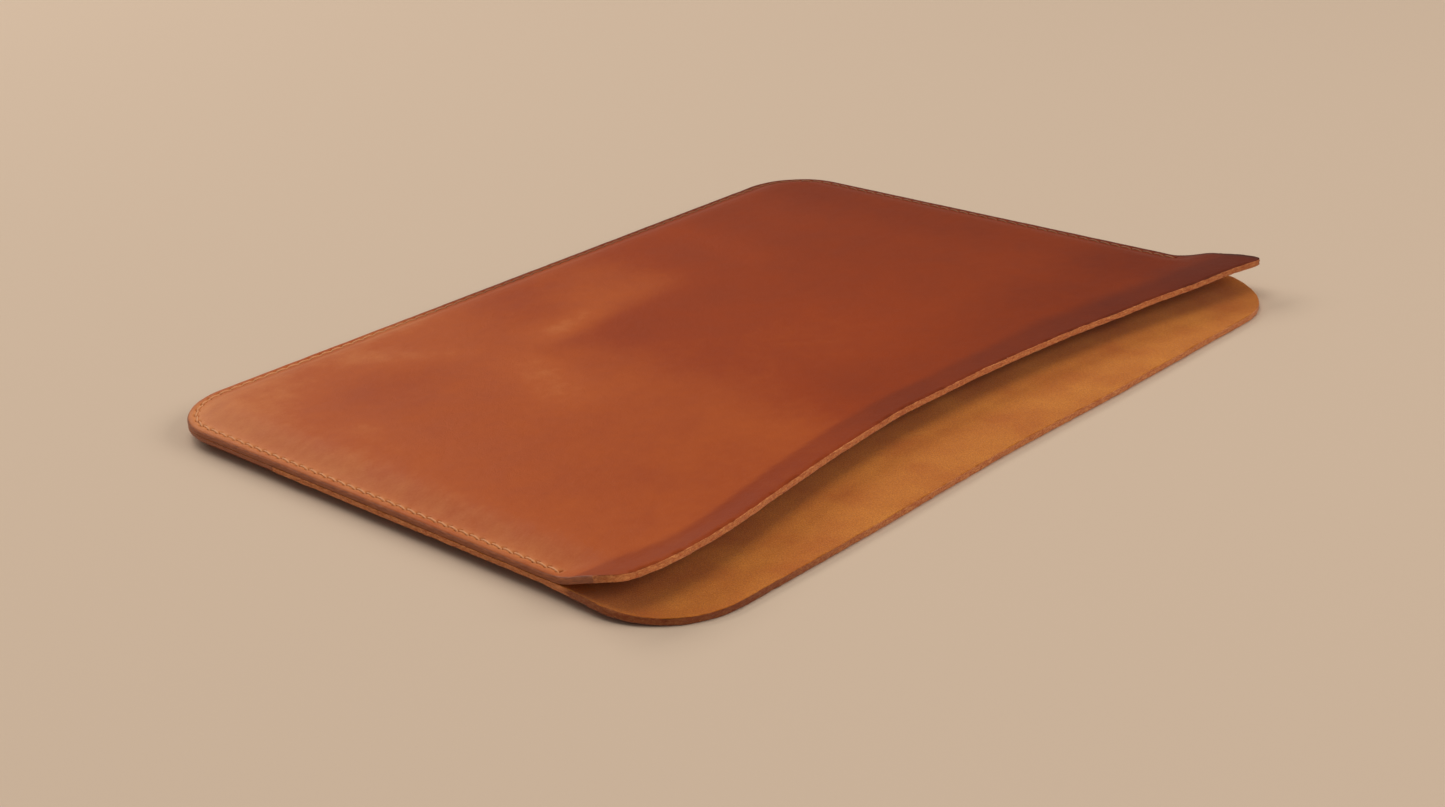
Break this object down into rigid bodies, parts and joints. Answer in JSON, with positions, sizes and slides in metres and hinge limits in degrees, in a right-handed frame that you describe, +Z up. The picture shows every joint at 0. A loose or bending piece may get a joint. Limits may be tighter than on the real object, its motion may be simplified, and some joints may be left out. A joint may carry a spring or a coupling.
{
  "type": "laptop sleeve",
  "caption": "Slim leather sleeve for a thin computer, sewn round three sides, with a scooped mouth along one long side and a lip that bends up.",
  "frame": {"origin": "under the middle of the outline, on the surface that the sleeve lies on", "axes": "+X along the mouth, +Y from the mouth towards the closed edge, +Z up"},
  "size_m": [0.3, 0.226, 0.0131],
  "materials": {
    "leather": "waxed pull-up leather, satin",
    "waxed_thread": "waxed linen thread",
    "contact_cement": "dull"
  },
  "bodies": {
    "sleeve": {"bottom_panel": "leather", "top_panel": "leather", "saddle_stitch_thread": "waxed_thread", "seam_adhesive": "contact_cement"},
    "lip": {"mouth_lip": "leather"}
  },
  "joints": [
    {"name": "mouth_lip_bend", "type": "hinge", "parent": "sleeve", "child": "lip", "pos_m": [0, -0.072, 0.01], "axis": [-1, 0, 0], "range_deg": [-2, 35], "stiffness_Nm_per_rad": 0.4}
  ]
}
